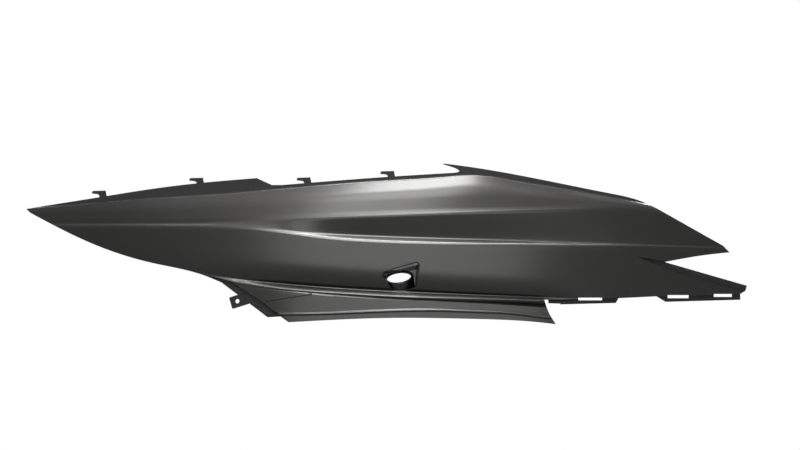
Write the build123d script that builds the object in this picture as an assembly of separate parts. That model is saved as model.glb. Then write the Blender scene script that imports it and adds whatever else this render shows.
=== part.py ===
from build123d import *
import os
from math import atan2, cos, hypot, radians, sin

# Scooter side panel, left-hand: one thin moulded shell.
# +X runs to the tail, +Z is up and the outer face looks to -Y. The origin is the centre of the lock hole.
# Stations are percent of the panel's length from its front tip, and levels are percent of its height.
# Depths and the sizes of the small features are in millimetres.

panel_length = 901.0
panel_height = 201.0
wall = 2.5
bow_front = 88.0
bow_rear = 52.0
widest_station = 57.0

flange_step = 5.0
flange_lean = 3.0

lock_station = 51.7
lock_level = 29.5
lock_setback = 19.5
lock_hole_diameter = 30.0
lock_rim_width = 3.2
lock_tilt = 64.0
lock_roll = 8.0
moat_depth = 10.5
lock_reach = 13.0

joggle = 3.5

screw_hole_diameter = 5.5
screw_station = 29.2
screw_level = 14.4
screw_tab_width = 15.0
screw_tab_reach = 9.0
screw_tab_root = 14.0
screw_tab_turn = 17.0
screw_set_in = 3.5

hook_height = 7.5
hook_stem = 10.0
hook_reach = 9.0
hook_bar = 3.8
hook_root = 3.0
hook_places = [(10.7, 79.4), (24.2, 87.4), (39.1, 87.6), (50.7, 91.6)]

# The raised rib that runs up the front of the skirt to its fold, from end to end.
rib_places = [(33.2, 14.6), (39.7, 18.9)]
rib_width = 2.6
rib_rise = 0.9

# Side view of the parts that are joggled inward: the strip that the floor trim covers, the seat of the tail lamp
# and the two tabs that hold the lower fairing.
strip_places = [(25.2, 30.3), (27.1, 28.3), (28.2, 27.1), (29.0, 25.2), (29.8, 22.6), (31.5, 17.6), (33.0, 13.3),
                (34.2, 8.8), (35.3, 6.0), (36.4, 1.2), (36.4, -8), (20, -8), (20, 30.3)]
lamp_seat_places = [(84.9, 41.9), (88.3, 39.6), (104, 22.3), (104, 15.5), (99.2, 20.7), (96.5, 23.8), (93.8, 27.5),
                    (91.7, 30.2), (88.6, 34.6)]
front_tab_places = [(72.4, 16.8), (72.45, 13.0), (74.1, 12.8), (74.1, 12.3), (81.8, 13.2), (82.4, 17.8)]
rear_tab_places = [(87.3, 18.7), (87.5, 17.2), (88.7, 13.9), (99.1, 15.2), (99.05, 19.6)]
slots = [(76.6, 79.9, 14.9, 16.5), (89.0, 91.9, 16.2, 18.1), (95.4, 97.9, 17.0, 18.8)]

# Corners of the lock pocket, from the hole's centre: right along the panel and up, at its mouth and at its back.
mouth_corners = [(-8.0, -16.5), (9.0, -17.5), (22.0, -13.0), (26.5, 20.5), (-23.0, 3.5)]
back_corners = [(-7.0, -15.0), (8.0, -15.5), (20.0, -11.5), (21.0, 12.5), (-20.0, 6.5)]
pocket_depth = 17.5
pocket_rounding = 3.0

# Long feature lines, top to bottom: the level of each along the panel.
shoulder_line = [(-4, 70.6), (7.5, 74.5), (16.4, 77.9), (27.5, 81.2), (44.9, 87.9), (59.6, 92.0), (62.6, 92.6),
                 (68.5, 88.7), (80.9, 79.2), (93.5, 67.7), (104, 58)]
crease_line = [(-4, 63.2), (22, 63.2), (31, 64.9), (45, 67.3), (62, 69.8), (78, 71.4), (84, 70.3), (92, 63), (104, 52)]
foot_line = [(-4, 61.3), (20, 61.3), (28.4, 60.9), (35.4, 58.3), (45.4, 55.3), (55, 53.7), (68.5, 52.1), (85, 49.9),
             (104, 47)]
ridge_line = [(-4, 59.3), (20, 59.5), (28.4, 59.3), (35.4, 56.9), (45.4, 52.4), (55, 50.7), (68.5, 49.5), (85, 48.6),
              (104, 45.6)]
belly_line = [(-4, 52), (10, 47), (20, 40), (29, 33.5), (37, 30), (53, 25), (66, 21.6), (76, 20), (104, 20)]
tuck_line = [(-4, 46), (10, 41), (20, 35), (29, 28.4), (36.6, 24.8), (45, 22), (53.3, 20.1), (70, 17), (76, 16),
             (104, 15.5)]
ledge_line = [(-4, 43), (10, 38.5), (20, 32.5), (29, 26.2), (36.6, 21.6), (45, 18.8), (53.3, 16.8), (70, 14.8),
              (76, 14), (104, 13.5)]
fold_line = [(-4, 38), (10, 34), (20, 28.5), (29, 23.5), (39, 19), (47.6, 16), (59.3, 13.6), (68.5, 11.4), (72, 10.3),
             (104, 9)]
bead_line = [(-4, 20), (20, 14), (30, 7), (38, 6.2), (47.6, 7.9), (55.5, 8.8), (62.4, 7.9), (68.5, 6.4), (72, 4.4),
             (104, 4)]
hem_level = -6

# Depths of those lines, outward from the ridge.
shoulder_depth = [(-4, -9), (10, -12), (20, -16), (30, -19), (52, -20.5), (62, -19.5), (75, -16), (88, -11), (104, -8)]
dip_depth = [(-4, -3.5), (20, -4.5), (35, -6), (52, -6.8), (70, -6), (85, -4), (104, -3)]
crease_rise = [(-4, 0.6), (25, 0.6), (33, 1.5), (52, 2.1), (75, 1.8), (85, 0.8), (104, 0.6)]
foot_depth = [(-4, -0.8), (24, -0.8), (35.4, -2.2), (45.4, -7.6), (55, -8.4), (63, -8), (70, -6.4), (76, -5),
              (86, -2.2), (104, -1.5)]
belly_depth = [(-4, -2.5), (10, -1.5), (20, 0.5), (30, 2), (52, 2.5), (70, 1.5), (80, 0), (104, -1)]
tuck_inset = [(-4, 3), (24, 2.5), (29, 5.5), (36, 8), (52, 8), (66, 6.5), (72, 5), (77, 0.6), (104, 0.6)]
ledge_width = [(-4, 0.3), (26, 0.3), (31, 4), (37, 7), (52, 7), (62, 5.5), (72, 4.5), (77, 0.1), (104, 0)]
undercut_inset = [(-4, 0), (30, 0.1), (36, 0.4), (45, 1.5), (60, 2.2), (72, 4), (77, 0.3), (104, 0.3)]
fold_rise = [(-4, 0), (30, 0.1), (34, 0.3), (47, 1.2), (60, 1.8), (72, 3.5), (77, 0.2), (104, 0.2)]
bead_rise = [(-4, 0), (28, 0.1), (36, 1.4), (72, 1.4), (77, 0.1), (104, 0)]

stations = [-3, 4, 11, 18, 24.5, 30, 36, 43, 50, 57, 62.5, 68, 72, 77, 84, 90, 96.5, 103]


def along(line, station):
    """Value of a feature line at one station: smooth, and with no overshoot between its points."""
    places = [point[0] for point in line]
    values = [point[1] for point in line]
    rises = [(values[i + 1] - values[i]) / (places[i + 1] - places[i]) for i in range(len(line) - 1)]
    slopes = [rises[0]]
    for before, after in zip(rises, rises[1:]):
        slopes.append(0.0 if before * after <= 0 else 2 * before * after / (before + after))
    slopes.append(rises[-1])
    i = min(len(line) - 2, sum(1 for place in places[1:-1] if station >= place))
    span = places[i + 1] - places[i]
    t = (station - places[i]) / span
    from_start = (1 + 2 * t) * (1 - t) ** 2 * values[i] + t * (1 - t) ** 2 * span * slopes[i]
    from_end = t * t * (3 - 2 * t) * values[i + 1] - t * t * (1 - t) * span * slopes[i + 1]
    return from_start + from_end


def bow(station):
    """Depth of the ridge, which curves in toward both ends of the panel."""
    if station < widest_station:
        return -bow_front * ((widest_station - station) / widest_station) ** 2
    return -bow_rear * ((station - widest_station) / (100 - widest_station)) ** 2


def length_at(station):
    """X of a station."""
    return (station - lock_station) / 100 * panel_length


def height_at(level):
    """Z of a level."""
    return (level - lock_level) / 100 * panel_height


def section(station):
    """Corners of the outer face in one cross-section, top to bottom, as (outward, up, rounding)."""
    shoulder = along(shoulder_line, station)
    crease = along(crease_line, station)
    ledge = along(ledge_line, station)
    fold = along(fold_line, station)
    bead = along(bead_line, station)
    shoulder_out = along(shoulder_depth, station)
    dip_out = along(dip_depth, station)
    belly_out = along(belly_depth, station)
    tuck_out = belly_out - along(tuck_inset, station)
    ledge_out = tuck_out + along(ledge_width, station)
    undercut_out = ledge_out - along(undercut_inset, station)
    fold_out = undercut_out + along(fold_rise, station)
    corners = [
        (shoulder_out - flange_step - flange_lean, shoulder + 14, 0),
        (shoulder_out - flange_step, shoulder + 0.3, 0.8),
        (shoulder_out, shoulder, 1.5),
        (shoulder_out + 0.64 * (dip_out - shoulder_out), shoulder + 0.42 * (crease + 1.8 - shoulder), 30),
        (dip_out, crease + 1.8, 6),
        (dip_out + along(crease_rise, station), crease - 0.6, 2.5),
        (along(foot_depth, station), along(foot_line, station), 1.8),
        (0, along(ridge_line, station), 3),
        (belly_out, along(belly_line, station), 30),
        (tuck_out, along(tuck_line, station), 1.2),
        (ledge_out, ledge, 1.2),
        (undercut_out, fold + 0.35 * (ledge - fold), 0),
        (fold_out, fold, 0),
        (fold_out + 0.8, bead + 1.0, 0),
        (fold_out + 0.8 + along(bead_rise, station), bead, 0),
        (fold_out + 0.4, bead - 1.2, 0),
        (fold_out + 1.4, hem_level, 0),
    ]
    return [(bow(station) + out, height_at(level), rounding) for out, level, rounding in corners]


def outward_at(station, level):
    """How far out the face lies at one place, read from the corners of its cross-section."""
    corners = section(station)
    up = height_at(level)
    for (upper_out, upper, _), (lower_out, lower, _) in zip(corners, corners[1:]):
        if upper >= up >= lower and upper > lower:
            return lower_out + (upper_out - lower_out) * (up - lower) / (upper - lower)
    return corners[-1][0]


origin_out = outward_at(lock_station, lock_level) - lock_setback


def depth_at(station, level):
    """Y of the outer face at one place."""
    return origin_out - outward_at(station, level)


def backed(corners):
    """The corners moved inward by the wall, square to the face."""
    moved = []
    for i, (out, up, rounding) in enumerate(corners):
        normals = []
        for start, end in ((corners[max(i - 1, 0)], corners[i]), (corners[i], corners[min(i + 1, len(corners) - 1)])):
            run = hypot(end[0] - start[0], end[1] - start[1])
            if run > 0:
                normals.append(((end[1] - start[1]) / run, (start[0] - end[0]) / run))
        (a, b), (c, d) = normals[0], normals[-1]
        reach = wall / (1 + a * c + b * d)
        moved.append((out + reach * (a + c), up + reach * (b + d), 0))
    return moved


def face_edges(corners, station):
    """Edges along the corners in the plane of one station, each corner rounded by its own amount."""
    points = [Vector(length_at(station), origin_out - out, up) for out, up, rounding in corners]
    edges = []
    last = points[0]
    for before, here, after, corner in zip(points, points[1:], points[2:], corners[1:]):
        cut = min(corner[2], 0.45 * (here - before).length, 0.45 * (after - here).length)
        if corner[2] == 0:
            edges.append(Line(last, here))
            last = here
            continue
        enter = here + (before - here).normalized() * cut
        leave = here + (after - here).normalized() * cut
        edges += [Line(last, enter), Bezier(enter, here, leave)]
        last = leave
    return edges + [Line(last, points[-1])]


def lofted(front_at, back_at):
    """A solid between two faces that run the whole length, each given by its corners at a station."""
    wires = []
    for station in stations:
        front = face_edges(front_at(station), station)
        back = face_edges(back_at(station), station)
        ends = [Line(front[0] @ 0, back[0] @ 0), Line(front[-1] @ 1, back[-1] @ 1)]
        wires.append(Wire(front + back + ends))
    return Solid.make_loft(wires)


def set_back(corners, depth):
    """The corners moved straight in by a depth."""
    return [(out - depth, up, rounding) for out, up, rounding in corners]


def side_view(*edges):
    """A prism right through the panel, from the closed run of edges of its side view."""
    face = Face(Wire(edges))
    return Solid.extrude(face, Vector(0, 4 * panel_height, 0)).moved(Location((0, -2 * panel_height, 0)))


def spot(station, level):
    """A place on the side view."""
    return Vector(length_at(station), 0, height_at(level))


def curve(*places):
    """A smooth edge through places on the side view."""
    return Spline(*[spot(*place) for place in places])


def run(*places):
    """Straight edges between places on the side view."""
    return [Line(spot(*a), spot(*b)) for a, b in zip(places, places[1:])]


def region(*places):
    """A prism whose side view is a straight-sided shape."""
    return side_view(*run(*places, places[0]))


def hook(station, level):
    """Side view of one seat-rail hook: a stem with a bar that points to the front."""
    base = spot(station, level)
    stem = hook_stem / 2
    bar_end = -stem - hook_reach
    corners = [(stem, -hook_root), (stem - 2, hook_height), (bar_end + 1.2, hook_height - 0.4),
               (bar_end, hook_height - 1.6), (bar_end, hook_height - hook_bar), (-stem - 1.5, hook_height - hook_bar - 0.8),
               (-stem, hook_height - hook_bar - 2.5), (-stem, -hook_root)]
    points = [base + Vector(right, 0, up) for right, up in corners]
    return side_view(*[Line(p, q) for p, q in zip(points, points[1:] + points[:1])])


def grown(places):
    """A prism like region, with its side view grown by the wall all round."""
    wire = Wire(run(*places, places[0])).offset_2d(wall)
    return side_view(*wire.edges())


def body_outline():
    """The panel's own side view, without its hooks and tabs."""
    front_top = curve((0, 71.7), (4.2, 74.8), (8.6, 77.9), (16.4, 83.5), (24, 87.8), (32, 90.9))
    saddle = run((32, 90.9), (34.1, 86.6), (35.5, 86.6))
    seat_edge = curve((35.5, 86.6), (44.1, 89.7), (51.9, 92.2), (59.3, 94.2))
    beak = Bezier(spot(59.3, 94.2), spot(61.1, 94.8), spot(59.4, 97.6), spot(57.9, 99.3))
    beak_tip = run((57.9, 99.3), (57.9, 100))
    tail_top = curve((57.9, 100), (60.7, 98.4), (67.4, 93.5), (80.7, 81.7), (85.2, 76.7), (87.8, 71.3))
    upper_horn = run((87.8, 71.3), (96.7, 48.8), (97.6, 44.7))
    notch_top = curve((97.6, 44.7), (94, 42.9), (88.6, 38.7))
    lower_horn = run((88.6, 38.7), (100, 24.0), (99.8, 20.8), (99.0, 18.6))
    tail_hem = run((99.0, 18.6), (87.4, 17.3), (82.2, 16.2), (71.9, 15.2))
    skirt_end = curve((71.9, 15.2), (72.5, 7.4), (73.5, 0))
    skirt_hem = curve((73.5, 0), (70.7, 1.4), (62, 3.3), (50.8, 3.9), (36.4, 1.2))
    strip_edge = run((36.4, 1.2), (35.3, 4.8), (33.5, 4.3), (27.1, 25.9))
    front_hem = curve((27.1, 25.9), (24.6, 30.5), (17.5, 38.1), (8.6, 51.2), (0.6, 69.2))
    tip = run((0.6, 69.2), (0, 71.7))
    parts = [front_top, saddle, seat_edge, beak, beak_tip, tail_top, upper_horn, notch_top, lower_horn, tail_hem,
             skirt_end, skirt_hem, strip_edge, front_hem, tip]
    edges = []
    for part in parts:
        edges += part if isinstance(part, list) else [part]
    return side_view(*edges)


def shell():
    """The panel's skin, with its joggled parts set in and joined to it by a wall along each step."""
    outline = body_outline()
    sunk_view = (region(*strip_places) + region(*lamp_seat_places)) & outline
    step_view = ((grown(strip_places) + grown(lamp_seat_places)) & outline) - sunk_view
    tabs = region(*front_tab_places) + region(*rear_tab_places)
    step_view += tabs & outline
    sunk_view += tabs - outline
    main_view = outline - step_view - sunk_view
    for front, rear, low, high in slots:
        slot = region((front, low), (rear, low), (rear, high), (front, high))
        step_view -= slot
        sunk_view -= slot
    for place in hook_places:
        main_view += hook(*place)

    def sunk_front(station):
        return set_back(section(station), joggle)

    def sunk_back(station):
        return backed(sunk_front(station))

    skin = lofted(section, lambda station: backed(section(station)))
    main = (skin - lock_cavity(0) + lock_seat() + skirt_rib()) & main_view
    step = lofted(section, sunk_back) & step_view
    sunk = (lofted(sunk_front, sunk_back) & sunk_view) + screw_tab() - screw_hole()
    return main + step + sunk


def behind_face():
    """Everything near the lock that lies behind the middle of the wall."""
    wires = []
    for station in stations:
        if abs(station - lock_station) > lock_reach:
            continue
        front = face_edges(set_back(section(station), wall / 2), station)
        top, bottom = front[0] @ 0, front[-1] @ 1
        back_top = Vector(top.X, panel_height, top.Z)
        back_bottom = Vector(bottom.X, panel_height, bottom.Z)
        wires.append(Wire(front + [Line(bottom, back_bottom), Line(back_bottom, back_top), Line(back_top, top)]))
    return Solid.make_loft(wires)


def lock_plane(shift):
    """The plane of the lock's seat, moved along the lock's axis."""
    tilt = radians(lock_tilt)
    roll = radians(lock_roll)
    axis = Vector(-sin(roll) * sin(tilt), -cos(tilt), cos(roll) * sin(tilt))
    return Plane(origin=axis * shift, x_dir=(1, 0, 0), z_dir=axis)


def pocket_wire(corners, depth, grow):
    """The lock pocket's outline at one depth, grown all round."""
    points = [Vector(right, depth, up) for right, up in corners]
    wire = Wire([Line(p, q) for p, q in zip(points, points[1:] + points[:1])])
    wire = wire.fillet_2d(pocket_rounding, wire.vertices())
    if grow:
        wire = wire.offset_2d(grow)
    return Wire(wire.order_edges())


def lock_cavity(grow):
    """The air in front of the lock's seat and around its boss, grown all round."""
    reach = 4 * lock_hole_diameter
    rim = lock_hole_diameter / 2 + lock_rim_width
    mouth_depth = -lock_setback - 4 * wall
    air = Solid.make_loft(
        [pocket_wire(mouth_corners, mouth_depth, grow), pocket_wire(back_corners, pocket_depth + grow, grow)], ruled=True
    )
    seat = lock_plane(-grow)
    under_seat = Solid.extrude(Face.make_rect(reach, reach, seat), seat.z_dir * -reach)
    floor = Plane(origin=(0, moat_depth + grow, 0), x_dir=(1, 0, 0), z_dir=(0, 1, 0))
    behind_moat = Solid.extrude(Face.make_rect(reach, reach, floor), Vector(0, reach, 0))
    boss = Solid.make_cylinder(rim - grow, 2 * reach, lock_plane(-reach))
    return air - (under_seat & boss) - (under_seat & behind_moat)


def lock_seat():
    """Walls of the lock pocket: the seat, the boss under its front half and the sides."""
    hole = Solid.make_cylinder(lock_hole_diameter / 2, 4 * wall, lock_plane(-2 * wall))
    return ((lock_cavity(wall) - lock_cavity(0)) & behind_face()) - hole


def face_plane(station, level, set_in):
    """The plane that touches the outer face at one place, facing out, moved in by a depth."""
    x, z = length_at(station), height_at(level)
    along_x = (depth_at(station + 0.5, level) - depth_at(station - 0.5, level)) / (panel_length / 100)
    along_z = (depth_at(station, level + 0.5) - depth_at(station, level - 0.5)) / (panel_height / 100)
    normal = Vector(along_x, -1, along_z).normalized()
    return Plane(origin=Vector(x, depth_at(station, level), z) - normal * set_in, x_dir=(1, along_x, 0), z_dir=normal)


def screw_tab():
    """The flat tab in front of the floor-trim strip, without its hole."""
    face = face_plane(screw_station, screw_level, screw_set_in + wall)
    turn = radians(screw_tab_turn)
    along_tab = face.x_dir * cos(turn) + face.y_dir * sin(turn)
    across_tab = face.y_dir * cos(turn) - face.x_dir * sin(turn)
    corner = face.origin - along_tab * screw_tab_reach - across_tab * (screw_tab_width / 2)
    length = screw_tab_reach + screw_tab_root
    return Solid.make_box(length, screw_tab_width, wall, Plane(origin=corner, x_dir=along_tab, z_dir=face.z_dir))


def screw_hole():
    """The drilled run of the screw tab's hole."""
    bottom = face_plane(screw_station, screw_level, screw_set_in + 3 * wall)
    return Solid.make_cylinder(screw_hole_diameter / 2, 4 * wall, bottom)


def skirt_rib():
    """The rib on the front of the skirt, which follows the bow of the face and is sunk into the wall."""
    start, end = [face_plane(station, level, 0).origin for station, level in rib_places]
    middle = face_plane(*[(a + b) / 2 for a, b in zip(*rib_places)], 0)
    along_rib = (end - start).normalized()
    across_rib = middle.z_dir.cross(along_rib).normalized()
    out = along_rib.cross(across_rib)

    half_way = (start + end) * 0.5
    crown = half_way + out * (middle.origin - half_way).dot(out)

    def line_at(rise):
        return ThreePointArc(start + out * rise, crown + out * rise, end + out * rise)

    top, bottom = line_at(rib_rise), line_at(-wall / 2)
    ends = [Line(top @ 0, bottom @ 0), Line(top @ 1, bottom @ 1)]
    rib = Solid.extrude(Face(Wire([top, bottom] + ends)), across_rib * rib_width)
    return rib.moved(Location(across_rib * (-rib_width / 2)))


os.makedirs("parts", exist_ok=True)
export_step(shell(), "parts/side_panel.step")
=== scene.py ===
"""Scooter side panel, left-hand: the moulded shell with its finish, lit on a pale floor."""

from math import atan2, cos, hypot, pi, radians, sin

import bpy
import numpy as np
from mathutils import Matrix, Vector


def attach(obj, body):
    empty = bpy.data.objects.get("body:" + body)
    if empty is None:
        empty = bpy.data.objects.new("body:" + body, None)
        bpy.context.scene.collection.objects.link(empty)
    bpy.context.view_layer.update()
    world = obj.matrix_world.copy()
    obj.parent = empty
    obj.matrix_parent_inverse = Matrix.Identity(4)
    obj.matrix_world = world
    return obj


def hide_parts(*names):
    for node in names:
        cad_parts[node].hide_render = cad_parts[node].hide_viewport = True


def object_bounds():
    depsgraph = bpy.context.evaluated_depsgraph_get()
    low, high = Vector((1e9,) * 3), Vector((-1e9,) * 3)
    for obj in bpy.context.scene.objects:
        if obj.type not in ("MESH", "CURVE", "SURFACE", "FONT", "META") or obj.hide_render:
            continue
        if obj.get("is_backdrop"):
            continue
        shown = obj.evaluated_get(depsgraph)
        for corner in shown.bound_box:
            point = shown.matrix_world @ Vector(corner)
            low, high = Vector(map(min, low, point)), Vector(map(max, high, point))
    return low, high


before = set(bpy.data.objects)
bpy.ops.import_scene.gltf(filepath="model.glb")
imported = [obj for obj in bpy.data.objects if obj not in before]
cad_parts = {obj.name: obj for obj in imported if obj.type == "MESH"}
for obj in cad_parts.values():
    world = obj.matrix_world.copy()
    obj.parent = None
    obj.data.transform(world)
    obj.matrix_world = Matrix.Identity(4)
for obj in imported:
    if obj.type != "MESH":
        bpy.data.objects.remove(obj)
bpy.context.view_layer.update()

bl_info = {
    "name": "Scooter side panel",
    "version": (1, 0, 0),
    "blender": (4, 5, 0),
    "location": "View3D > Sidebar > Side panel",
    "description": "Builds the side panel's moulding, its finish and its studio",
    "category": "Object",
}

# Sizes are in millimetres until a mesh is made. +X runs to the tail, +Z is up and the outer face looks
# to -Y. Stations are percent of the panel's length from its front tip, and levels are percent of its height.
panel_length = 901.0
panel_height = 201.0
wall = 2.5
bow_front = 88.0
bow_rear = 52.0
widest_station = 57.0
flange_step = 5.0
flange_lean = 3.0
joggle = 3.5

lock_station = 51.7
lock_level = 29.5
lock_setback = 19.5
lock_hole_radius = 15.0
lock_rim_width = 3.2
lock_tilt = 64.0
lock_roll = 8.0
moat_depth = 10.5

screw_hole_diameter = 5.5
screw_station = 29.2
screw_level = 14.4
screw_tab_width = 15.0
screw_tab_reach = 9.0
screw_tab_root = 14.0
screw_tab_turn = 17.0
screw_set_in = 3.5

hook_height = 7.5
hook_stem = 10.0
hook_reach = 9.0
hook_bar = 3.8
hook_root = 3.0
hook_places = [(10.7, 79.4), (24.2, 87.4), (39.1, 87.6), (50.7, 91.6)]

# The raised rib that runs up the front of the skirt to its fold, from end to end.
rib_places = [(33.2, 14.6), (39.7, 18.9)]
rib_width = 2.6
rib_rise = 0.9

# Side view of the parts that are joggled inward: the strip that the floor trim covers, the seat of the tail
# lamp and the two tabs that hold the lower fairing.
strip_places = [(25.2, 30.3), (27.1, 28.3), (28.2, 27.1), (29.0, 25.2), (29.8, 22.6), (31.5, 17.6),
                (33.0, 13.3), (34.2, 8.8), (35.3, 6.0), (36.4, 1.2), (36.4, -8), (20, -8), (20, 30.3)]
lamp_seat_places = [(84.9, 41.9), (88.3, 39.6), (104, 22.3), (104, 15.5), (99.2, 20.7), (96.5, 23.8),
                    (93.8, 27.5), (91.7, 30.2), (88.6, 34.6)]
front_tab_places = [(72.4, 16.8), (72.45, 13.0), (74.1, 12.8), (74.1, 12.3), (81.8, 13.2), (82.4, 17.8)]
rear_tab_places = [(87.3, 18.7), (87.5, 17.2), (88.7, 13.9), (99.1, 15.2), (99.05, 19.6)]
slots = [(76.6, 79.9, 14.9, 16.5), (89.0, 91.9, 16.2, 18.1), (95.4, 97.9, 17.0, 18.8)]

# Corners of the lock pocket at its mouth and at its back, as (right, up) from the hole's centre.
mouth_corners = [(-8.0, -16.5), (9.0, -17.5), (22.0, -13.0), (26.5, 20.5), (-23.0, 3.5)]
back_corners = [(-7.0, -15.0), (8.0, -15.5), (20.0, -11.5), (21.0, 12.5), (-20.0, 6.5)]
pocket_depth = 17.5
pocket_rounding = 3.0

# Long feature lines, top to bottom: the level of each along the panel.
shoulder_line = [(-4, 70.6), (7.5, 74.5), (16.4, 77.9), (27.5, 81.2), (44.9, 87.9), (59.6, 92.0),
                 (62.6, 92.6), (68.5, 88.7), (80.9, 79.2), (93.5, 67.7), (104, 58)]
crease_line = [(-4, 63.2), (22, 63.2), (31, 64.9), (45, 67.3), (62, 69.8), (78, 71.4), (84, 70.3),
               (92, 63), (104, 52)]
foot_line = [(-4, 61.3), (20, 61.3), (28.4, 60.9), (35.4, 58.3), (45.4, 55.3), (55, 53.7),
             (68.5, 52.1), (85, 49.9), (104, 47)]
ridge_line = [(-4, 59.3), (20, 59.5), (28.4, 59.3), (35.4, 56.9), (45.4, 52.4), (55, 50.7),
              (68.5, 49.5), (85, 48.6), (104, 45.6)]
belly_line = [(-4, 52), (10, 47), (20, 40), (29, 33.5), (37, 30), (53, 25), (66, 21.6), (76, 20), (104, 20)]
tuck_line = [(-4, 46), (10, 41), (20, 35), (29, 28.4), (36.6, 24.8), (45, 22), (53.3, 20.1), (70, 17),
             (76, 16), (104, 15.5)]
ledge_line = [(-4, 43), (10, 38.5), (20, 32.5), (29, 26.2), (36.6, 21.6), (45, 18.8), (53.3, 16.8),
              (70, 14.8), (76, 14), (104, 13.5)]
fold_line = [(-4, 38), (10, 34), (20, 28.5), (29, 23.5), (39, 19), (47.6, 16), (59.3, 13.6), (68.5, 11.4),
             (72, 10.3), (104, 9)]
bead_line = [(-4, 20), (20, 14), (30, 7), (38, 6.2), (47.6, 7.9), (55.5, 8.8), (62.4, 7.9), (68.5, 6.4),
             (72, 4.4), (104, 4)]
hem_level = -6

# Depths of those lines, outward from the ridge.
shoulder_depth = [(-4, -9), (10, -12), (20, -16), (30, -19), (52, -20.5), (62, -19.5), (75, -16),
                  (88, -11), (104, -8)]
dip_depth = [(-4, -3.5), (20, -4.5), (35, -6), (52, -6.8), (70, -6), (85, -4), (104, -3)]
crease_rise = [(-4, 0.6), (25, 0.6), (33, 1.5), (52, 2.1), (75, 1.8), (85, 0.8), (104, 0.6)]
foot_depth = [(-4, -0.8), (24, -0.8), (35.4, -2.2), (45.4, -7.6), (55, -8.4), (63, -8), (70, -6.4),
              (76, -5), (86, -2.2), (104, -1.5)]
belly_depth = [(-4, -2.5), (10, -1.5), (20, 0.5), (30, 2), (52, 2.5), (70, 1.5), (80, 0), (104, -1)]
tuck_inset = [(-4, 3), (24, 2.5), (29, 5.5), (36, 8), (52, 8), (66, 6.5), (72, 5), (77, 0.6), (104, 0.6)]
ledge_width = [(-4, 0.3), (26, 0.3), (31, 4), (37, 7), (52, 7), (62, 5.5), (72, 4.5), (77, 0.1), (104, 0)]
undercut_inset = [(-4, 0), (30, 0.1), (36, 0.4), (45, 1.5), (60, 2.2), (72, 4), (77, 0.3), (104, 0.3)]
fold_rise = [(-4, 0), (30, 0.1), (34, 0.3), (47, 1.2), (60, 1.8), (72, 3.5), (77, 0.2), (104, 0.2)]
bead_rise = [(-4, 0), (28, 0.1), (36, 1.4), (72, 1.4), (77, 0.1), (104, 0)]

# Stations whose cross-sections shape the face, and the step in percent between the rows of its mesh.
stations = [-3, 4, 11, 18, 24.5, 30, 36, 43, 50, 57, 62.5, 68, 72, 77, 84, 90, 96.5, 103]
grid_step = 0.28

# Steps round each corner of the profile, and along the straight run that leads to it.
corner_steps = [0, 4, 6, 14, 10, 8, 6, 8, 14, 5, 5, 0, 0, 0, 0, 0, 0]
run_steps = [3, 3, 5, 5, 4, 4, 4, 6, 4, 2, 3, 3, 9, 2, 2, 3]

# The belly's corner in the profile, and how far up its long curve may start.
belly_corner = 8
belly_sweep = 22.0

# Roundings of the back face's corners, the pocket's mouth, the rims of hole and boss, and the screw tab.
back_rounding = 0.3
mouth_rounding = 1.6
rim_rounding = 0.8
tab_rounding = 1.5
tab_edge = 0.3
outline_corner_steps = 10
circle_steps = 96

# How far the cutters reach: in front of the face, above the lock's seat, behind its hole, and each way
# through the whole panel. The pocket's mouth starts a hair in front of the face.
air_reach = 20
hole_reach = 3
sight_reach = 40
prism_reach = 250.0
mouth_clearance = 0.05

# First and last station of the plug behind the lock pocket, and the step between them.
plug_stations = (36, 68.1, 0.5)

# The finishes of the moulding, by the slot that each takes on the mesh. The third is a lighter grey on the
# pocket's ceiling, seat and back: painted light where the pocket lies in shade.
finishes = ("satin_grey", "grained_black", "pocket_painted_light")
satin, grained, pocket = range(3)

# Y in metres past which the pocket's walls count as its mouth and its slope counts as its ceiling.
mouth_y = -0.015
ceiling_y = -0.012
sharp_angle = 32

# The studio in metres: the floor's half width, the camera's place, and where the lamps point.
floor_half = 2.5
floor_gap = 0.0005
camera_place = (0.0015, -3.0, 0.06475)
lamp_aim = (-0.03, 0.0, 0.05)

# Lamps: name, place, width and height, and brightness of the face.
lamps = [
    ("key_light", (-0.08, -1.15, 1.65), (0.5, 0.5), 74),
    ("middle_light", (-0.2, -1.7, 1.18), (0.55, 0.65), 26),
    ("front_light", (-0.1, -2.2, 0.3), (1.3, 0.6), 6.6),
    ("top_light", (0.03, 0.0, 1.9), (0.25, 0.8), 80),
    ("back_light", (0.5, 1.8, 1.0), (2.0, 0.8), 16),
    ("wide_light", (-0.1, 0.0, 2.1), (1.6, 0.6), 26),
]


def along(line, station):
    """Value of a feature line at one station: smooth, and with no overshoot between its points."""
    places = [point[0] for point in line]
    values = [point[1] for point in line]
    rises = [(values[i + 1] - values[i]) / (places[i + 1] - places[i]) for i in range(len(line) - 1)]
    slopes = [rises[0]]
    for before, after in zip(rises, rises[1:]):
        slopes.append(0.0 if before * after <= 0 else 2 * before * after / (before + after))
    slopes.append(rises[-1])
    i = min(len(line) - 2, sum(1 for place in places[1:-1] if station >= place))
    span = places[i + 1] - places[i]
    t = (station - places[i]) / span
    from_start = (1 + 2 * t) * (1 - t) ** 2 * values[i] + t * (1 - t) ** 2 * span * slopes[i]
    from_end = t * t * (3 - 2 * t) * values[i + 1] - t * t * (1 - t) * span * slopes[i + 1]
    return from_start + from_end


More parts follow.
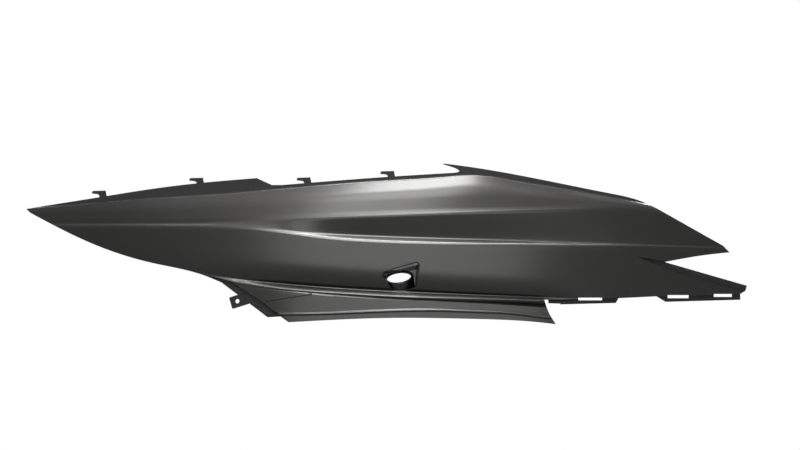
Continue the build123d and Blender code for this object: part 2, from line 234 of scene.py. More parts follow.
def spline(places, values, wanted):
    """Natural cubic spline through rows of values, read at the wanted places."""
    x = np.asarray(places, float)
    y = np.asarray(values, float).reshape(len(x), -1)
    h = np.diff(x)
    n = len(x)
    system = np.eye(n)
    right = np.zeros_like(y)
    for i in range(1, n - 1):
        system[i, i - 1:i + 2] = h[i - 1], 2 * (h[i - 1] + h[i]), h[i]
        right[i] = 6 * ((y[i + 1] - y[i]) / h[i] - (y[i] - y[i - 1]) / h[i - 1])
    bend = np.linalg.solve(system, right)
    wanted = np.asarray(wanted, float)
    i = np.clip(np.searchsorted(x, wanted) - 1, 0, n - 2)
    a = ((x[i + 1] - wanted) / h[i])[:, None]
    b = ((wanted - x[i]) / h[i])[:, None]
    step = h[i][:, None]
    return (a * y[i] + b * y[i + 1]
            + ((a ** 3 - a) * bend[i] + (b ** 3 - b) * bend[i + 1]) * step ** 2 / 6)


def bow(station):
    """Depth of the ridge, which curves in toward both ends of the panel."""
    if station < widest_station:
        return -bow_front * ((widest_station - station) / widest_station) ** 2
    return -bow_rear * ((station - widest_station) / (100 - widest_station)) ** 2


def length_at(station):
    """X of a station."""
    return (station - lock_station) / 100 * panel_length


def height_at(level):
    """Z of a level."""
    return (level - lock_level) / 100 * panel_height


def section(station):
    """Corners of the outer face in one cross-section, top to bottom, as (outward, up, rounding)."""
    shoulder = along(shoulder_line, station)
    crease = along(crease_line, station)
    ledge = along(ledge_line, station)
    fold = along(fold_line, station)
    bead = along(bead_line, station)
    shoulder_out = along(shoulder_depth, station)
    dip_out = along(dip_depth, station)
    belly_out = along(belly_depth, station)
    tuck_out = belly_out - along(tuck_inset, station)
    ledge_out = tuck_out + along(ledge_width, station)
    undercut_out = ledge_out - along(undercut_inset, station)
    fold_out = undercut_out + along(fold_rise, station)
    corners = [
        (shoulder_out - flange_step - flange_lean, shoulder + 14, 0),
        (shoulder_out - flange_step, shoulder + 0.3, 0.8),
        (shoulder_out, shoulder, 1.5),
        (shoulder_out + 0.64 * (dip_out - shoulder_out), shoulder + 0.42 * (crease + 1.8 - shoulder), 30),
        (dip_out, crease + 1.8, 6),
        (dip_out + along(crease_rise, station), crease - 0.6, 2.5),
        (along(foot_depth, station), along(foot_line, station), 1.8),
        (0, along(ridge_line, station), 3),
        (belly_out, along(belly_line, station), 30),
        (tuck_out, along(tuck_line, station), 1.2),
        (ledge_out, ledge, 1.2),
        (undercut_out, fold + 0.35 * (ledge - fold), 0),
        (fold_out, fold, 0),
        (fold_out + 0.8, bead + 1.0, 0),
        (fold_out + 0.8 + along(bead_rise, station), bead, 0),
        (fold_out + 0.4, bead - 1.2, 0),
        (fold_out + 1.4, hem_level, 0),
    ]
    return [(bow(station) + out, height_at(level), rounding) for out, level, rounding in corners]


def outward_at(station, level):
    """How far out the face lies at one place, read from the corners of its cross-section."""
    corners = section(station)
    up = height_at(level)
    for (upper_out, upper, _), (lower_out, lower, _) in zip(corners, corners[1:]):
        if upper >= up >= lower and upper > lower:
            return lower_out + (upper_out - lower_out) * (up - lower) / (upper - lower)
    return corners[-1][0]


origin_out = outward_at(lock_station, lock_level) - lock_setback


def backed(corners):
    """The corners moved inward by the wall, square to the face."""
    moved = []
    for i, (out, up, rounding) in enumerate(corners):
        before = corners[max(i - 1, 0)]
        after = corners[min(i + 1, len(corners) - 1)]
        normals = []
        for start, end in ((before, corners[i]), (corners[i], after)):
            span = hypot(end[0] - start[0], end[1] - start[1])
            if span > 0:
                normals.append(((end[1] - start[1]) / span, (start[0] - end[0]) / span))
        (a, b), (c, d) = normals[0], normals[-1]
        reach = wall / (1 + a * c + b * d)
        moved.append((out + reach * (a + c), up + reach * (b + d), rounding))
    return moved


def set_back(corners, depth):
    """The corners moved straight in by a depth."""
    return [(out - depth, up, rounding) for out, up, rounding in corners]


def rounded_profile(corners, sharp):
    """Points down one cross-section, with each corner rounded off, as rows of (outward, up)."""
    points = np.array([corner[:2] for corner in corners])
    last = points[0]
    rows = [last[None]]
    for i in range(1, len(points)):
        here = points[i]
        steps = corner_steps[i]
        if steps:
            before, after = points[i - 1], points[i + 1]
            to_before, to_after = before - here, after - here
            rounding = back_rounding if sharp else corners[i][2]
            before_length, after_length = np.linalg.norm(to_before), np.linalg.norm(to_after)
            cut_before = cut_after = min(rounding, 0.45 * before_length, 0.45 * after_length)
            if i == belly_corner:
                cut_before = min(belly_sweep, 0.7 * before_length)
                cut_after = 0.7 * after_length
            enter = here + to_before / before_length * cut_before
            leave = here + to_after / after_length * cut_after
        else:
            enter = leave = here
        t = np.linspace(0, 1, run_steps[i - 1] + 1)[1:, None]
        rows.append(last + (enter - last) * t)
        if steps:
            t = np.linspace(0, 1, steps + 1)[1:, None]
            rows.append((1 - t) ** 2 * enter + 2 * t * (1 - t) * here + t * t * leave)
        last = leave
    return np.concatenate(rows)


def face_grid(corners_at, columns, sharp=False):
    """Points of one face: a row of stations, each with its profile, as (X, Y, Z)."""
    known = np.array([corners_at(station) for station in stations])
    shaped = spline(stations, known.reshape(len(stations), -1), columns)
    shaped = shaped.reshape(len(columns), *known.shape[1:])
    grid = []
    for station, corners in zip(columns, shaped):
        profile = rounded_profile([tuple(corner) for corner in corners], sharp)
        x = np.full(len(profile), length_at(station))
        grid.append(np.column_stack([x, origin_out - profile[:, 0], profile[:, 1]]))
    return np.array(grid)


def flange_rows():
    """How many steps of the profile belong to the flange above the shoulder."""
    return run_steps[0] + corner_steps[1] + run_steps[1]


def solid_mesh(name, front, back, flange=0):
    """A closed mesh between two face grids. Its first rows, as many as the flange has, are grained."""
    columns, rows = front.shape[:2]
    points = np.concatenate([front.reshape(-1, 3), back.reshape(-1, 3)]) / 1000
    offset = columns * rows

    def at(i, j, side):
        return side * offset + i * rows + j

    faces = []
    textured = []
    for i in range(columns - 1):
        for j in range(rows - 1):
            faces.append((at(i, j, 0), at(i, j + 1, 0), at(i + 1, j + 1, 0), at(i + 1, j, 0)))
            faces.append((at(i, j, 1), at(i + 1, j, 1), at(i + 1, j + 1, 1), at(i, j + 1, 1)))
            textured += [j < flange, j < flange]
        faces.append((at(i, 0, 0), at(i + 1, 0, 0), at(i + 1, 0, 1), at(i, 0, 1)))
        low = rows - 1
        faces.append((at(i, low, 0), at(i, low, 1), at(i + 1, low, 1), at(i + 1, low, 0)))
        textured += [flange > 0, False]
    for j in range(rows - 1):
        faces.append((at(0, j, 0), at(0, j, 1), at(0, j + 1, 1), at(0, j + 1, 0)))
        last = columns - 1
        faces.append((at(last, j, 0), at(last, j + 1, 0), at(last, j + 1, 1), at(last, j, 1)))
        textured += [j < flange, j < flange]
    return mesh_object(name, points, faces, textured)


def mesh_object(name, points, faces, textured=None):
    """A mesh object with outward faces, in metres."""
    mesh = bpy.data.meshes.new(name)
    mesh.from_pydata([tuple(p) for p in points], [], faces)
    for finish in finishes:
        mesh.materials.append(bpy.data.materials.get(finish) or bpy.data.materials.new(finish))
    if textured is not None:
        mesh.polygons.foreach_set("material_index", np.array(textured, dtype=np.int32))
    mesh.validate()
    mesh.update()
    obj = bpy.data.objects.new(name, mesh)
    bpy.context.scene.collection.objects.link(obj)
    return obj


def rings_mesh(name, rings):
    """A closed mesh through rings of equally many points, in millimetres, capped at both ends."""
    count = len(rings[0])
    points = np.concatenate(rings) / 1000
    faces = [tuple(range(count))]
    for k in range(len(rings) - 1):
        for j in range(count):
            after = (j + 1) % count
            faces.append((k * count + j, (k + 1) * count + j, (k + 1) * count + after, k * count + after))
    last = (len(rings) - 1) * count
    faces.append(tuple(last + j for j in reversed(range(count))))
    return oriented(mesh_object(name, points, faces))


def oriented(obj):
    """The object with its faces turned outward."""
    mesh = obj.data
    volume = 0.0
    for polygon in mesh.polygons:
        a, *rest = [mesh.vertices[i].co for i in polygon.vertices]
        for b, c in zip(rest, rest[1:]):
            volume += a.dot(b.cross(c))
    if volume < 0:
        mesh.flip_normals()
    return obj


def combined(obj, other, operation):
    """The object after a boolean with another one, which is used up."""
    modifier = obj.modifiers.new("cut", "BOOLEAN")
    modifier.operation = operation
    modifier.solver = "EXACT"
    modifier.object = other
    graph = bpy.context.evaluated_depsgraph_get()
    mesh = bpy.data.meshes.new_from_object(obj.evaluated_get(graph))
    obj.modifiers.clear()
    old = obj.data
    obj.data = mesh
    bpy.data.meshes.remove(old)
    used = other.data
    bpy.data.objects.remove(other)
    bpy.data.meshes.remove(used)
    if not len(mesh.polygons):
        raise RuntimeError(f"nothing is left of {obj.name} after {operation}")
    return obj


def finished(obj, slot):
    """The object with one of the materials on all its faces."""
    count = len(obj.data.polygons)
    obj.data.polygons.foreach_set("material_index", np.full(count, slot, dtype=np.int32))
    return obj


def copied(obj):
    """A separate copy of an object."""
    twin = bpy.data.objects.new(obj.name + "_copy", obj.data.copy())
    bpy.context.scene.collection.objects.link(twin)
    return twin


def prism(name, outline):
    """A prism right through the panel, from the points of its side view as (X, Z)."""
    flat = np.asarray(outline, float)
    near = np.column_stack([flat[:, 0], np.full(len(flat), -prism_reach), flat[:, 1]])
    far = near + (0, 2 * prism_reach, 0)
    return rings_mesh(name, [near, far])


def spot(place):
    """(X, Z) of a station and level."""
    return length_at(place[0]), height_at(place[1])


def region(name, places, grow=0.0):
    """A prism with a straight-sided side view, which can be grown all round."""
    points = np.array([spot(place) for place in places])
    if grow:
        points = grown_outline(points, grow)
    return prism(name, points)


def grown_outline(points, grow):
    """A closed outline moved outward all round, with mitred corners."""
    x, z = points.T
    turn = np.sign(np.sum(x * np.roll(z, -1) - np.roll(x, -1) * z))
    ahead = np.roll(points, -1, axis=0) - points
    ahead /= np.linalg.norm(ahead, axis=1)[:, None]
    outward = np.column_stack([ahead[:, 1], -ahead[:, 0]]) * turn
    before = np.roll(outward, 1, axis=0)
    reach = grow / (1 + np.sum(before * outward, axis=1))
    return points + (before + outward) * reach[:, None]


def smooth_run(places, steps=10):
    """Points of a smooth edge through places on the side view, as (X, Z)."""
    points = np.array([spot(place) for place in places])
    distance = np.concatenate([[0], np.cumsum(np.linalg.norm(np.diff(points, axis=0), axis=1))])
    wanted = np.concatenate([np.linspace(a, b, steps + 1) for a, b in zip(distance, distance[1:])])
    return spline(distance, points, np.unique(wanted))


def body_outline():
    """Points of the panel's own side view, without its hooks and tabs."""
    beak = np.array([spot(place) for place in [(59.3, 94.2), (61.1, 94.8), (59.4, 97.6), (57.9, 99.3)]])
    t = np.linspace(0, 1, 13)[:, None]
    beak_run = ((1 - t) ** 3 * beak[0] + 3 * t * (1 - t) ** 2 * beak[1]
                + 3 * t * t * (1 - t) * beak[2] + t ** 3 * beak[3])
    runs = [
        smooth_run([(0, 71.7), (4.2, 74.8), (8.6, 77.9), (16.4, 83.5), (24, 87.8), (32, 90.9)]),
        [spot((34.1, 86.6))],
        smooth_run([(35.5, 86.6), (44.1, 89.7), (51.9, 92.2), (59.3, 94.2)])[:-1],
        beak_run,
        smooth_run([(57.9, 100), (60.7, 98.4), (67.4, 93.5), (80.7, 81.7), (85.2, 76.7), (87.8, 71.3)]),
        [spot((96.7, 48.8))],
        smooth_run([(97.6, 44.7), (94, 42.9), (88.6, 38.7)]),
        [spot((100, 24.0)), spot((99.8, 20.8)), spot((99.0, 18.6)), spot((87.4, 17.3)), spot((82.2, 16.2))],
        smooth_run([(71.9, 15.2), (72.5, 7.4), (73.5, 0)])[:-1],
        smooth_run([(73.5, 0), (70.7, 1.4), (62, 3.3), (50.8, 3.9), (36.4, 1.2)]),
        [spot((35.3, 4.8)), spot((33.5, 4.3))],
        smooth_run([(27.1, 25.9), (24.6, 30.5), (17.5, 38.1), (8.6, 51.2), (0.6, 69.2)]),
    ]
    return np.concatenate([np.asarray(run, float) for run in runs])


def hook(station, level):
    """Side view of one seat-rail hook: a stem with a bar that points to the front."""
    base = np.array(spot((station, level)))
    stem = hook_stem / 2
    bar_end = -stem - hook_reach
    under_bar = hook_height - hook_bar
    return base + np.array([
        (stem, -hook_root),
        (stem - 2, hook_height),
        (bar_end + 1.2, hook_height - 0.4),
        (bar_end, hook_height - 1.6),
        (bar_end, under_bar),
        (-stem - 1.5, under_bar - 0.8),
        (-stem, under_bar - 2.5),
        (-stem, -hook_root),
    ])


def rounded_outline(corners, grow, rounding):
    """Points and outward normals of a convex outline with rounded corners, grown all round, as (X, Z)."""
    points = np.array(corners, float)
    count = len(points)
    rows = []
    normals = []
    for i in range(count):
        here = points[i]
        to_before = points[i - 1] - here
        to_after = points[(i + 1) % count] - here
        to_before /= np.linalg.norm(to_before)
        to_after /= np.linalg.norm(to_after)
        half = 0.5 * np.arccos(np.clip(to_before @ to_after, -1, 1))
        middle = (to_before + to_after) / np.linalg.norm(to_before + to_after)
        centre = here + middle * rounding / np.sin(half)
        start = centre + to_before * (to_before @ (here - centre))
        first = here + to_before * rounding / np.tan(half) - centre
        second = here + to_after * rounding / np.tan(half) - centre
        turn = atan2(first[0] * second[1] - first[1] * second[0], first @ second)
        for k in range(outline_corner_steps + 1):
            angle = turn * k / outline_corner_steps
            outward = np.array([
                first[0] * cos(angle) - first[1] * sin(angle),
                first[0] * sin(angle) + first[1] * cos(angle),
            ]) / rounding
            rows.append(centre + outward * (rounding + grow))
            normals.append(outward)
    return np.array(rows), np.array(normals)


def lock_axes():
    """Directions of the lock's seat: right along it, up its slope, and out along the lock's axis."""
    tilt = radians(lock_tilt)
    roll = radians(lock_roll)
    axis = np.array([-sin(roll) * sin(tilt), -cos(tilt), cos(roll) * sin(tilt)])
    right = np.array([1.0, 0.0, 0.0])
    right -= axis * (axis @ right)
    right /= np.linalg.norm(right)
    return right, np.cross(axis, right), axis


def unit_circle(right, up, steps):
    """Points of a circle of radius 1 in the plane of two directions."""
    turns = np.linspace(0, 2 * pi, steps + 1)[:-1, None]
    return right * np.cos(turns) + up * np.sin(turns)


def lock_cylinder(name, radius, low, high, rounding=0.0):
    """A cylinder along the lock's axis, from one distance to another, in millimetres."""
    right, slope, axis = lock_axes()
    circle = unit_circle(right, slope, circle_steps)
    rings = [circle * radius + axis * low]
    if rounding:
        for angle in np.linspace(0, pi / 2, 7):
            inset = rounding * (1 - cos(angle))
            rings.append(circle * (radius - inset) + axis * (high - rounding + rounding * sin(angle)))
    else:
        rings.append(circle * radius + axis * high)
    return rings_mesh(name, rings)


def lock_block(name, origin, axes, reach, depth):
    """A square block that goes down from a plane, in millimetres."""
    right, up, out = axes
    square = np.array([right + up, up - right, -right - up, right - up]) * reach / 2 + origin
    return rings_mesh(name, [square, square - out * depth])


def lock_cavity(grow, face_depth):
    """The air in front of the lock's seat and around its boss, grown all round, with a rounded mouth."""
    reach = 8 * lock_hole_radius
    rim = lock_hole_radius + lock_rim_width
    mouth_depth = -lock_setback - 4 * wall
    back_depth = pocket_depth + grow
    near, normals = rounded_outline(mouth_corners, grow, pocket_rounding)
    far, _ = rounded_outline(back_corners, grow, pocket_rounding)

    def ring(depth, flare):
        share = (depth - mouth_depth) / (back_depth - mouth_depth)
        flat = near + (far - near) * share[:, None] + normals * flare
        return np.column_stack([flat[:, 0], depth, flat[:, 1]])

    everywhere = np.ones(len(near))
    if grow:
        rings = [ring(everywhere * mouth_depth, 0)]
    else:
        face = np.array([face_depth(x, z) for x, z in near])
        rings = [ring(everywhere * (mouth_depth - air_reach), mouth_rounding)]
        for angle in np.linspace(0, pi / 2, 8):
            depth = face - mouth_clearance + mouth_rounding * (1 - cos(angle))
            rings.append(ring(depth, mouth_rounding * (1 - sin(angle))))
    rings.append(ring(everywhere * back_depth, 0))
    air = rings_mesh(f"lock_air_{grow:g}", rings)
    right, slope, axis = lock_axes()
    boss = lock_cylinder("boss", rim - grow, -reach, -grow, 0.0 if grow else rim_rounding)
    air = combined(air, boss, "DIFFERENCE")
    x_axis, y_axis, z_axis = np.eye(3)
    behind = lock_block("behind", y_axis * (moat_depth + grow), (x_axis, z_axis, -y_axis), reach, reach)
    under = lock_block("under", -axis * grow, (right, slope, axis), reach, reach)
    under = combined(under, behind, "INTERSECT")
    # The seat and the back of the pocket, cut by this block, take the lighter grey: painted light in the
    # shaded pocket.
    return combined(air, finished(under, pocket), "DIFFERENCE")


def depth_reader(grid, columns):
    """A function that gives the outer face's Y at any X and Z, from its grid."""
    def read(x, z):
        place = np.interp(x, [length_at(columns[0]), length_at(columns[-1])], [0, len(columns) - 1])
        i = min(int(place), len(columns) - 2)
        near, far = (np.interp(z, grid[k][::-1, 2], grid[k][::-1, 1]) for k in (i, i + 1))
        return near + (far - near) * (place - i)

    return read


def lock_plug(face_depth):
    """The plug of material from which the lock pocket is cut, behind the middle of the wall."""
    columns = np.arange(*plug_stations)
    front = face_grid(lambda station: set_back(section(station), wall / 2), columns)
    back = front.copy()
    back[:, :, 1] = panel_height
    return combined(lock_cavity(wall, face_depth), solid_mesh("behind_face", front, back), "INTERSECT")


def lock_hole():
    """The lock's hole with a rounded rim, and the air straight behind it, so that light shows through."""
    right, slope, axis = lock_axes()
    circle = unit_circle(right, slope, circle_steps)
    inner_end = circle * lock_hole_radius - axis * wall
    rings = [inner_end + (0, sight_reach, 0), inner_end]
    for angle in np.linspace(0, pi / 2, 6):
        radius = lock_hole_radius + rim_rounding * (1 - cos(angle))
        rings.append(circle * radius + axis * rim_rounding * (sin(angle) - 1))
    rings.append(circle * (lock_hole_radius + rim_rounding) + axis * hole_reach)
    return rings_mesh("lock_hole", rings)


def face_plane(station, level, set_in):
    """The plane that touches the outer face at one place, moved in: origin, two directions and normal."""
    def depth_at(s, l):
        return origin_out - outward_at(s, l)

    along_x = (depth_at(station + 0.5, level) - depth_at(station - 0.5, level)) / (panel_length / 100)
    along_z = (depth_at(station, level + 0.5) - depth_at(station, level - 0.5)) / (panel_height / 100)
    normal = np.array([along_x, -1, along_z])
    normal /= np.linalg.norm(normal)
    right = np.array([1, along_x, 0])
    right /= np.linalg.norm(right)
    origin = np.array([length_at(station), depth_at(station, level), height_at(level)]) - normal * set_in
    return origin, right, np.cross(normal, right), normal


def screw_tab():
    """The flat tab in front of the floor-trim strip, with its hole and rounded corners."""
    origin, right, up, out = face_plane(screw_station, screw_level, screw_set_in + wall)
    turn = radians(screw_tab_turn)
    along_tab = right * cos(turn) + up * sin(turn)
    across_tab = up * cos(turn) - right * sin(turn)
    half = screw_tab_width / 2
    tip = -screw_tab_reach
    corners = [(tip, -half), (screw_tab_root, -half), (screw_tab_root, half), (tip, half)]
    flat, normals = rounded_outline(corners, 0, tab_rounding)
    rings = []
    for inset, rise in ((tab_edge, 0), (0, tab_edge), (0, wall - tab_edge), (tab_edge, wall)):
        shape = flat - normals * inset
        rings.append(origin + shape[:, :1] * along_tab + shape[:, 1:] * across_tab + out * rise)
    tab = rings_mesh("screw_tab", rings)
    circle = unit_circle(right, up, circle_steps // 2) * screw_hole_diameter / 2
    hole = rings_mesh("screw_hole", [origin + circle - out * wall, origin + circle + out * 2 * wall])
    return combined(tab, hole, "DIFFERENCE")


def skirt_rib():
    """The rib on the front of the skirt, which follows the bow of the face and is sunk into the wall."""
    start, end = [face_plane(station, level, 0)[0] for station, level in rib_places]
    middle, _, _, normal = face_plane(*[(a + b) / 2 for a, b in zip(*rib_places)], 0)
    across = np.cross(normal, end - start)
    across /= np.linalg.norm(across)
    out = np.cross(end - start, across)
    out /= np.linalg.norm(out)
    sag = (middle - (start + end) / 2) @ out
    half = rib_width / 2
    crown = [(-half * cos(angle), rib_rise * sin(angle)) for angle in np.linspace(0, pi, 13)]
    shape = [(-half, -wall / 2)] + crown + [(half, -wall / 2)]
    rings = []
    for t in np.linspace(0, 1, 25):
        centre = start + (end - start) * t + out * 4 * t * (1 - t) * sag
        rings.append(np.array([centre + across * side + out * rise for side, rise in shape]))
    return rings_mesh("skirt_rib", rings)


def side_views():
    """Prisms that trim the skin, the thick rim of its joggled parts, and the air in front of them."""
    outline = prism("outline", body_outline())
    tabs = combined(region("front_tab", front_tab_places), region("rear_tab", rear_tab_places), "UNION")
    lamp_rim = region("lamp_rim", lamp_seat_places, wall)
    rims = combined(region("strip_rim", strip_places, wall), lamp_rim, "UNION")
    skin = combined(copied(outline), combined(copied(rims), copied(tabs), "UNION"), "DIFFERENCE")
    for place in hook_places:
        skin = combined(skin, prism("hook", hook(*place)), "UNION")
    thick = combined(combined(rims, copied(outline), "INTERSECT"), tabs, "UNION")
    for front, rear, low, high in slots:
        slot = region("slot", [(front, low), (rear, low), (rear, high), (front, high)])
        thick = combined(thick, slot, "DIFFERENCE")
    under_rear = region("under_rear", rear_tab_places, wall)
    under = combined(region("under_front", front_tab_places, wall), under_rear, "UNION")
    under = combined(under, outline, "DIFFERENCE")
    air = combined(region("strip", strip_places), region("lamp_seat", lamp_seat_places), "UNION")
    return skin, thick, combined(air, under, "UNION")


def mark_borders(mesh):
    """Makes each edge sharp where two finishes meet."""
    first = {}
    for polygon in mesh.polygons:
        for loop in polygon.loop_indices:
            edge = mesh.loops[loop].edge_index
            if first.setdefault(edge, polygon.material_index) != polygon.material_index:
                mesh.edges[edge].use_edge_sharp = True


def moulding():
    """The whole side panel as one mesh."""
    columns = np.arange(stations[0], stations[-1] + 0.01, grid_step)
    front = face_grid(section, columns)
    back = face_grid(lambda station: backed(section(station)), columns, sharp=True)
    sunk_front = face_grid(lambda station: set_back(section(station), joggle), columns)
    sunk_back = face_grid(lambda station: backed(set_back(section(station), joggle)), columns, sharp=True)
    face_depth = depth_reader(front, columns)
    skin_view, thick_view, air_view = side_views()
    skin = solid_mesh("panel_shell", front, back, flange_rows())
    skin = combined(skin, lock_plug(face_depth), "UNION")
    pocket_air = lock_cavity(0, face_depth)
    # The pocket's ceiling takes the lighter grey, painted light for the light that does not reach into the
    # pocket; the mouth takes it only until the borders are marked, then goes back to satin.
    for polygon in pocket_air.data.polygons:
        ceiling = polygon.normal.z > 0.6 and polygon.center.y > ceiling_y
        if ceiling or polygon.center.y < mouth_y:
            polygon.material_index = pocket
    skin = combined(skin, pocket_air, "DIFFERENCE")
    skin = combined(skin, skirt_rib(), "UNION")
    skin = combined(skin, skin_view, "INTERSECT")
    skin = combined(skin, lock_hole(), "DIFFERENCE")
    thick = combined(solid_mesh("panel_joggled", front, sunk_back), thick_view, "INTERSECT")
    far_front = front - (0, air_reach, 0)
    joggle_air = combined(solid_mesh("joggle_air", far_front, sunk_front), air_view, "INTERSECT")
    thick = combined(thick, finished(joggle_air, grained), "DIFFERENCE")
    tab = finished(screw_tab(), grained)
    bpy.ops.object.select_all(action="DESELECT")
    for part in (skin, thick, tab):
        part.select_set(True)
    bpy.context.view_layer.objects.active = skin
    bpy.ops.object.join()
    skin.data.polygons.foreach_set("use_smooth", np.ones(len(skin.data.polygons), dtype=bool))
    skin.data.set_sharp_from_angle(angle=radians(sharp_angle))
    mark_borders(skin.data)
    for polygon in skin.data.polygons:
        if polygon.material_index == pocket and polygon.center.y < mouth_y:
            polygon.material_index = satin
    return skin


def principled(name, color, metallic, roughness, specular):
    """A material with a Principled shader, and its node tree's handles."""
    material = bpy.data.materials.get(name) or bpy.data.materials.new(name)
    material.use_nodes = True
    nodes = material.node_tree.nodes
    shader = nodes["Principled BSDF"]
    shader.inputs["Base Color"].default_value = (*color, 1)
    shader.inputs["Metallic"].default_value = metallic
    shader.inputs["Roughness"].default_value = roughness
    shader.inputs["Specular IOR Level"].default_value = specular
    return material, nodes, material.node_tree.links, shader


def noise_at(nodes, links, scale, detail):
    """A noise texture in the object's own space."""
    coordinates = nodes.new("ShaderNodeTexCoord")
    noise = nodes.new("ShaderNodeTexNoise")
    noise.inputs["Scale"].default_value = scale
    noise.inputs["Detail"].default_value = detail
    links.new(coordinates.outputs["Object"], noise.inputs["Vector"])
    return noise


def ranged(nodes, links, source, low, high):
    """A noise's value, spread from its middle part to another range."""
    node = nodes.new("ShaderNodeMapRange")
    node.inputs["From Min"].default_value = 0.35
    node.inputs["From Max"].default_value = 0.65
    node.inputs["To Min"].default_value = low
    node.inputs["To Max"].default_value = high
    links.new(source, node.inputs["Value"])
    return node.outputs["Result"]


def add_bump(nodes, links, noise, shader, strength, distance):
    """Fine relief on a shader from a noise."""
    bump = nodes.new("ShaderNodeBump")
    bump.inputs["Strength"].default_value = strength
    bump.inputs["Distance"].default_value = distance
    links.new(noise.outputs["Fac"], bump.inputs["Height"])
    links.new(bump.outputs["Normal"], shader.inputs["Normal"])


def tinted(shade, tint):
    """A shade of grey as a colour, multiplied by a tint."""
    return (*[shade * share for share in tint], 1)


def panel_finish(settings):
    """Satin dark grey with a fine metallic flake."""
    _, nodes, links, shader = principled(
        finishes[satin], [settings.shade] * 3, settings.metallic, settings.roughness, 0.15
    )
    flake = noise_at(nodes, links, 1500, 1)
    cloud = noise_at(nodes, links, 9, 3)
    mix = nodes.new("ShaderNodeMix")
    mix.data_type = "RGBA"
    mix.inputs["A"].default_value = tinted(settings.shade, (0.88, 0.86, 0.83))
    mix.inputs["B"].default_value = tinted(settings.shade, (1.17, 1.14, 1.1))
    links.new(ranged(nodes, links, flake.outputs["Fac"], 0, 1), mix.inputs["Factor"])
    links.new(mix.outputs["Result"], shader.inputs["Base Color"])
    low, high = settings.roughness - 0.015, settings.roughness + 0.015
    links.new(ranged(nodes, links, cloud.outputs["Fac"], low, high), shader.inputs["Roughness"])
    add_bump(nodes, links, flake, shader, 0.03, 0.0002)
    shader.inputs["Coat Weight"].default_value = settings.coat
    shader.inputs["Coat Roughness"].default_value = 0.2


def grained_finish(name, shade, specular, strength):
    """Moulded grain: black on the parts that other covers hide, and in the lock's pocket a lighter grey that
    is painted light for its shaded inside.
    """
    _, nodes, links, shader = principled(name, (shade, shade, shade * 1.04), 0.0, 0.55, specular)
    grain = noise_at(nodes, links, 900, 2)
    links.new(ranged(nodes, links, grain.outputs["Fac"], 0.5, 0.68), shader.inputs["Roughness"])
    add_bump(nodes, links, grain, shader, strength, 0.0003)


class PanelSettings(bpy.types.PropertyGroup):
    """Finish of the moulding, strength of the studio's lights and width of the view."""

    shade: bpy.props.FloatProperty(
        name="Shade", description="Brightness of the grey", default=0.011, min=0.0, max=1.0
    )
    metallic: bpy.props.FloatProperty(
        name="Metallic", description="Share of metallic flake", default=0.9, min=0.0, max=1.0
    )
    roughness: bpy.props.FloatProperty(
        name="Roughness", description="Roughness of the satin", default=0.38, min=0.05, max=1.0
    )
    coat: bpy.props.FloatProperty(
        name="Coat", description="Weight of the clear coat", default=0.26, min=0.0, max=1.0
    )
    light_level: bpy.props.FloatProperty(
        name="Light level", description="Brightness of all the soft lights", default=1.0, min=0.0
    )
    view_width: bpy.props.FloatProperty(
        name="View width", description="Width that the camera takes in", default=1.0, min=0.1, unit="LENGTH"
    )


class BuildPanel(bpy.types.Operator):
    """Builds the moulding, gives it its finishes and sets it on the frame"""

    bl_idname = "side_panel.build_panel"
    bl_label = "Build the side panel"

    def execute(self, context):
        settings = context.scene.side_panel
        panel = moulding()
        panel_finish(settings)
        grained_finish(finishes[grained], 0.008, 0.06, 0.35)
        # The pocket's grey, far lighter than the satin, is painted light for the shaded inside of the
        # pocket.
        grained_finish(finishes[pocket], 0.15, 0.3, 0.1)
        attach(panel, "root")
        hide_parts("side_panel")
        return {"FINISHED"}


def soft_light(name, place, target, size, radiance):
    """A rectangular area light that points at a target, by how bright its face is."""
    light = bpy.data.lights.new(name, "AREA")
    light.shape = "RECTANGLE"
    light.size, light.size_y = size
    light.energy = pi * size[0] * size[1] * radiance
    obj = bpy.data.objects.new(name, light)
    obj.location = place
    obj.rotation_euler = (Vector(target) - Vector(place)).to_track_quat("-Z", "Y").to_euler()
    bpy.context.scene.collection.objects.link(obj)
    obj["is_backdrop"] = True


def background_seen(nodes, links):
    """One for a camera, glossy or transmission ray, and zero for a ray that lights the panel."""
    path = nodes.new("ShaderNodeLightPath")
    seen = path.outputs["Is Camera Ray"]
    for ray in ("Is Glossy Ray", "Is Transmission Ray"):
        either = nodes.new("ShaderNodeMath")
        either.operation = "MAXIMUM"
        links.new(seen, either.inputs[0])
        links.new(path.outputs[ray], either.inputs[1])
        seen = either.outputs["Value"]
    return seen


def white_world():
    """White where the camera sees it, and a soft grey fill for the panel."""
    world = bpy.data.worlds.new("studio")
    world.use_nodes = True
    nodes, links = world.node_tree.nodes, world.node_tree.links
    fill = nodes["Background"]
    fill.inputs["Color"].default_value = (0.95, 0.97, 1.0, 1)
    fill.inputs["Strength"].default_value = 0.05
    seen = nodes.new("ShaderNodeBackground")
    seen.inputs["Color"].default_value = (1, 1, 1, 1)
    seen.inputs["Strength"].default_value = 1.0
    mix = nodes.new("ShaderNodeMixShader")
    links.new(background_seen(nodes, links), mix.inputs["Fac"])
    links.new(fill.outputs["Background"], mix.inputs[1])
    links.new(seen.outputs["Background"], mix.inputs[2])
    links.new(mix.outputs["Shader"], nodes["World Output"].inputs["Surface"])
    bpy.context.scene.world = world


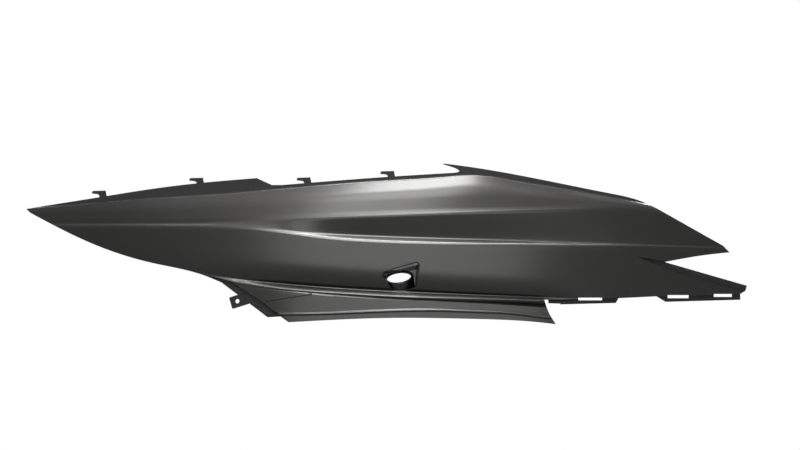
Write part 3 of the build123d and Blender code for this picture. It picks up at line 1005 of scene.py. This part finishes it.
def floor_finish():
    """A pale floor that shows white with the panel's soft shadow on it."""
    material, nodes, links, shader = principled("pale_floor", (0.6, 0.6, 0.6), 0.0, 0.9, 0.2)
    glow = nodes.new("ShaderNodeEmission")
    glow.inputs["Color"].default_value = (1, 1, 1, 1)
    glow.inputs["Strength"].default_value = 1.0
    mix = nodes.new("ShaderNodeMixShader")
    share = nodes.new("ShaderNodeMath")
    share.operation = "MULTIPLY"
    share.inputs[1].default_value = 0.94
    links.new(background_seen(nodes, links), share.inputs[0])
    links.new(share.outputs["Value"], mix.inputs["Fac"])
    links.new(shader.outputs["BSDF"], mix.inputs[1])
    links.new(glow.outputs["Emission"], mix.inputs[2])
    links.new(mix.outputs["Shader"], nodes["Material Output"].inputs["Surface"])
    return material


class BuildStage(bpy.types.Operator):
    """Adds the pale floor, the soft lights and the camera"""

    bl_idname = "side_panel.build_stage"
    bl_label = "Build the studio"

    def execute(self, context):
        settings = context.scene.side_panel
        low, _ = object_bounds()
        height = low.z - floor_gap
        signs = ((-1, -1), (1, -1), (1, 1), (-1, 1))
        corners = [(x * floor_half, y * floor_half, height) for x, y in signs]
        floor = bpy.data.meshes.new("floor")
        floor.from_pydata(corners, [], [(0, 1, 2, 3)])
        floor.update()
        obj = bpy.data.objects.new("floor", floor)
        context.scene.collection.objects.link(obj)
        floor.materials.append(floor_finish())
        obj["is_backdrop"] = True
        white_world()
        for name, place, size, radiance in lamps:
            soft_light(name, place, lamp_aim, size, radiance * settings.light_level)
        camera = bpy.data.cameras.new("camera")
        camera.type = "ORTHO"
        camera.ortho_scale = settings.view_width
        view = bpy.data.objects.new("camera", camera)
        view.location = camera_place
        view.rotation_euler = (pi / 2, 0, 0)
        context.scene.collection.objects.link(view)
        context.scene.camera = view
        context.scene.view_settings.view_transform = "Standard"
        return {"FINISHED"}


class SidePanelTools(bpy.types.Panel):
    """Builds the side panel from the 3D view's sidebar"""

    bl_idname = "VIEW3D_PT_side_panel"
    bl_label = "Side panel"
    bl_space_type = "VIEW_3D"
    bl_region_type = "UI"
    bl_category = "Side panel"

    def draw(self, context):
        layout = self.layout
        for name in PanelSettings.__annotations__:
            layout.prop(context.scene.side_panel, name)
        layout.operator(BuildPanel.bl_idname)
        layout.operator(BuildStage.bl_idname)


classes = (PanelSettings, BuildPanel, BuildStage, SidePanelTools)


def register():
    for cls in classes:
        bpy.utils.register_class(cls)
    bpy.types.Scene.side_panel = bpy.props.PointerProperty(type=PanelSettings)


def unregister():
    del bpy.types.Scene.side_panel
    for cls in reversed(classes):
        bpy.utils.unregister_class(cls)


def main():
    """Builds everything in order."""
    register()
    bpy.ops.side_panel.build_panel()
    bpy.ops.side_panel.build_stage()


if __name__ == "__main__":
    main()
